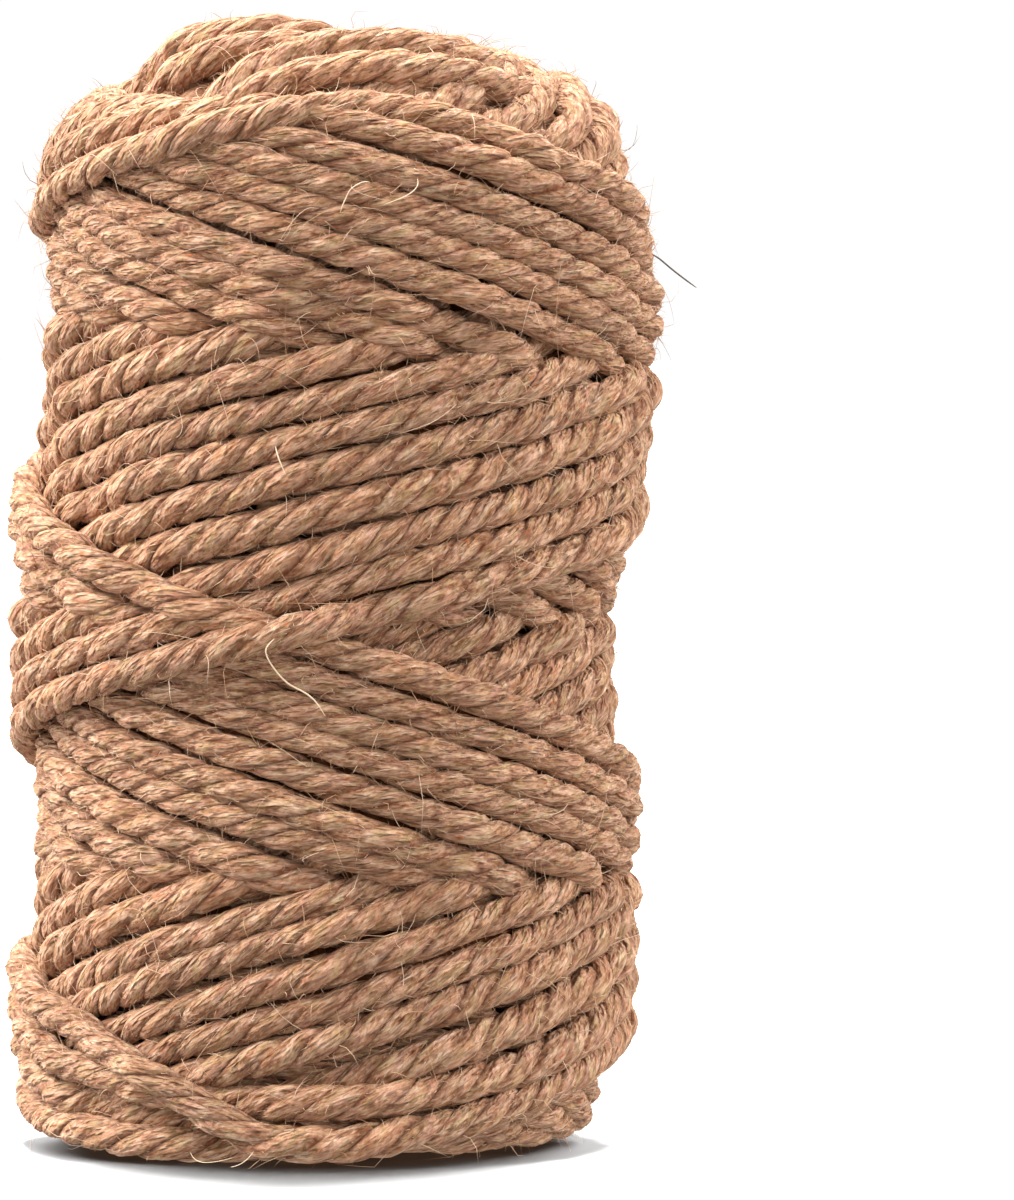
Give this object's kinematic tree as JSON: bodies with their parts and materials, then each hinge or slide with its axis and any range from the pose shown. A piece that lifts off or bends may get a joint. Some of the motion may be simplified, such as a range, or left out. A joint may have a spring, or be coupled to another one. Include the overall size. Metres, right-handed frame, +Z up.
{
  "type": "rope roll",
  "caption": "Upright roll of thick three-strand jute rope, cross-wound without a core, standing on its flat end",
  "frame": {"origin": "middle of the bounding box at the foot, on the flat lower end that the roll stands on", "axes": "+Z up along the roll's winding axis, -Y to the side that faces the viewer in the picture, +X to the right"},
  "size_m": [0.1002, 0.093, 0.1719],
  "materials": {
    "jute": "matt, hairy natural fibre"
  },
  "bodies": {
    "root": {"rope_roll": "jute"}
  },
  "joints": []
}
